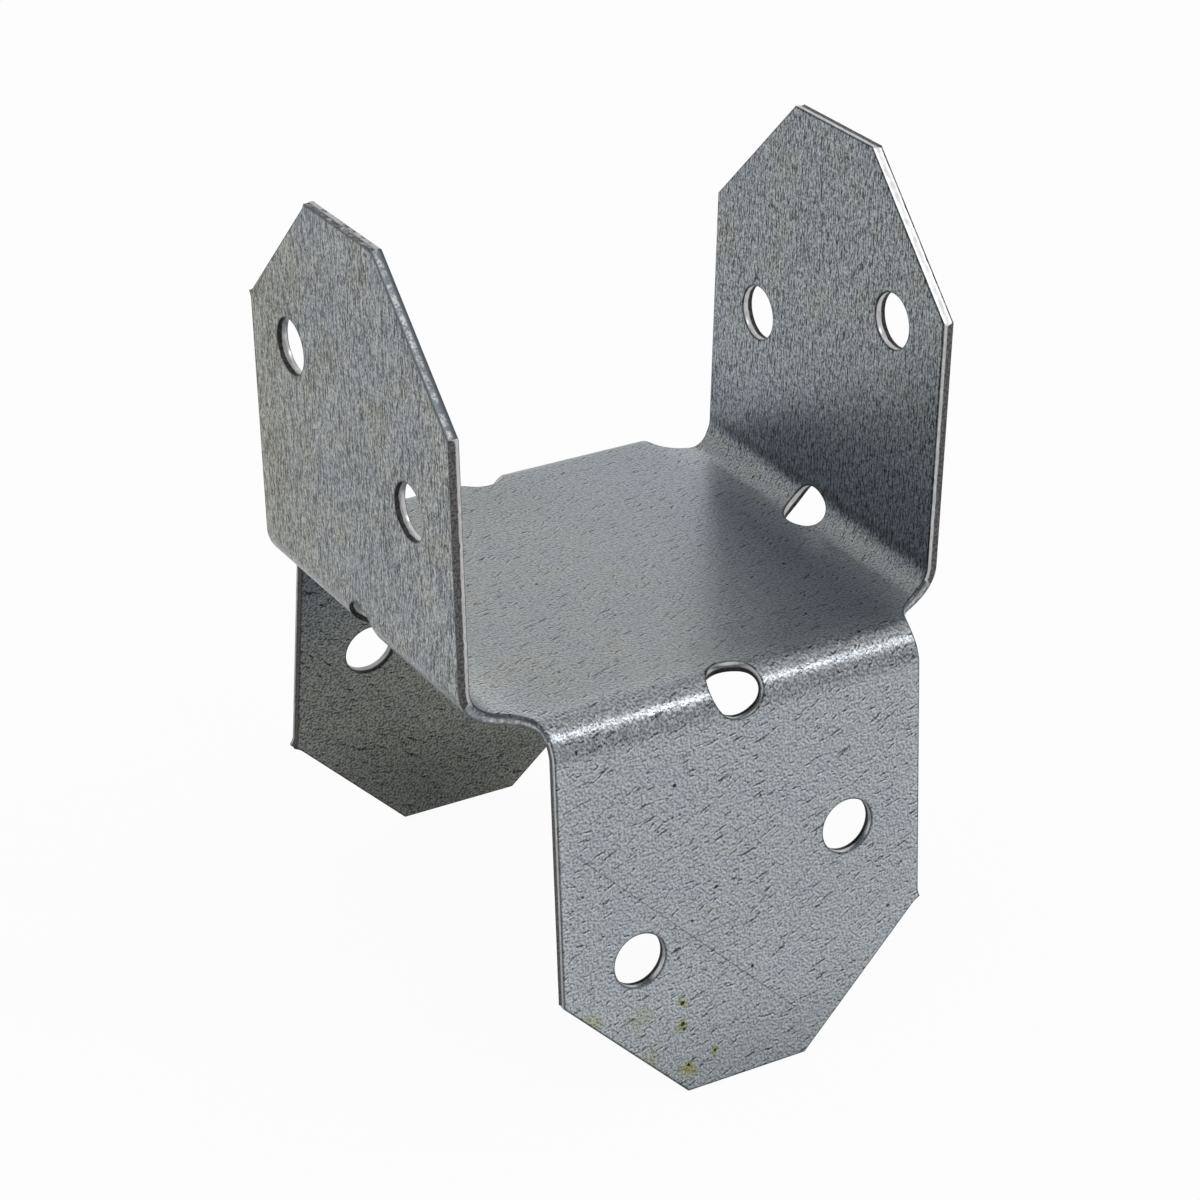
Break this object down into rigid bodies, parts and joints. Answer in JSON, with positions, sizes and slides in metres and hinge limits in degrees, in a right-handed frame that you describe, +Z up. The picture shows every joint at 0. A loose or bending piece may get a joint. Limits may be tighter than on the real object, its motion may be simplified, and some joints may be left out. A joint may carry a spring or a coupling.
{
  "type": "rigid tie connector",
  "caption": "Folded galvanized sheet connector: a square web with opposite flanges folded up and down, joining two crossing timbers.",
  "frame": {"origin": "middle of the web's upper face, where the upper timber sits", "axes": "+X across the two standing flanges, +Y across the two hanging flanges, +Z up"},
  "size_m": [0.0432, 0.0479, 0.0662],
  "materials": {
    "galvanized_steel": "dull hot-dip zinc coat with a fine rolled grain"
  },
  "bodies": {
    "root": {"folded_sheet": "galvanized_steel"}
  },
  "joints": []
}
